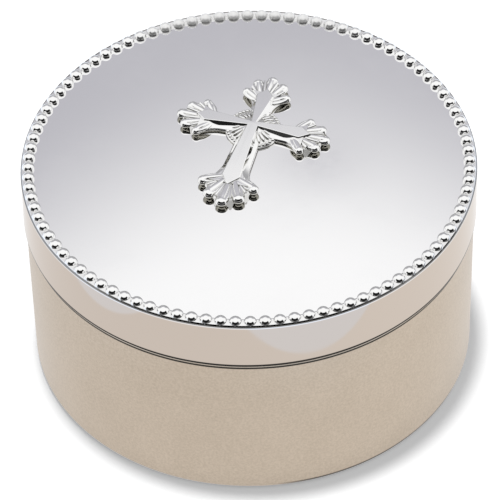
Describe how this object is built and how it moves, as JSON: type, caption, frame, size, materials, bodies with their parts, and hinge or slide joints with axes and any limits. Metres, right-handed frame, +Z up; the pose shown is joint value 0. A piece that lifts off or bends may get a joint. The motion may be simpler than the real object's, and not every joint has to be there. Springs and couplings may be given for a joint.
{
  "type": "rosary box",
  "caption": "Round metal keepsake box with a lift-off lid that carries a bead border and a raised flared cross, lined inside with velvet.",
  "frame": {"origin": "centre of the underside, on the surface that the box stands on", "axes": "+Z up; the foot of the cross points to -Y, the front; +X to the right seen from the front"},
  "size_m": [0.076, 0.076, 0.0412],
  "materials": {
    "base_plate": "satin silver plate",
    "lid_plate": "polished silver plate",
    "bead_plate": "polished silver plate, darkened in the recesses",
    "cross_plate": "polished silver plate, darkened in the recesses",
    "collar_gilt": "polished, thinly plated",
    "spring_steel": "plain",
    "lining_velvet": "short-pile velvet",
    "foot_flock": "flocked pad",
    "card": "grey board",
    "wadding": "soft wadding"
  },
  "bodies": {
    "base": {"base_shell": "base_plate", "locating_collar": "collar_gilt", "wall_card": "card", "wall_velvet": "lining_velvet", "floor_card": "card", "floor_cushion": "lining_velvet", "foot_pad": "foot_flock"},
    "lid": {"lid_shell": "lid_plate", "bead_border": "bead_plate", "cross": "cross_plate", "push_nuts": "spring_steel", "lid_wadding": "wadding", "lid_card": "card", "lid_velvet": "lining_velvet"}
  },
  "joints": [
    {"name": "lid_lift", "type": "slide", "parent": "base", "child": "lid", "axis": [0, 0, 1], "range_m": [0, 0.05]}
  ]
}
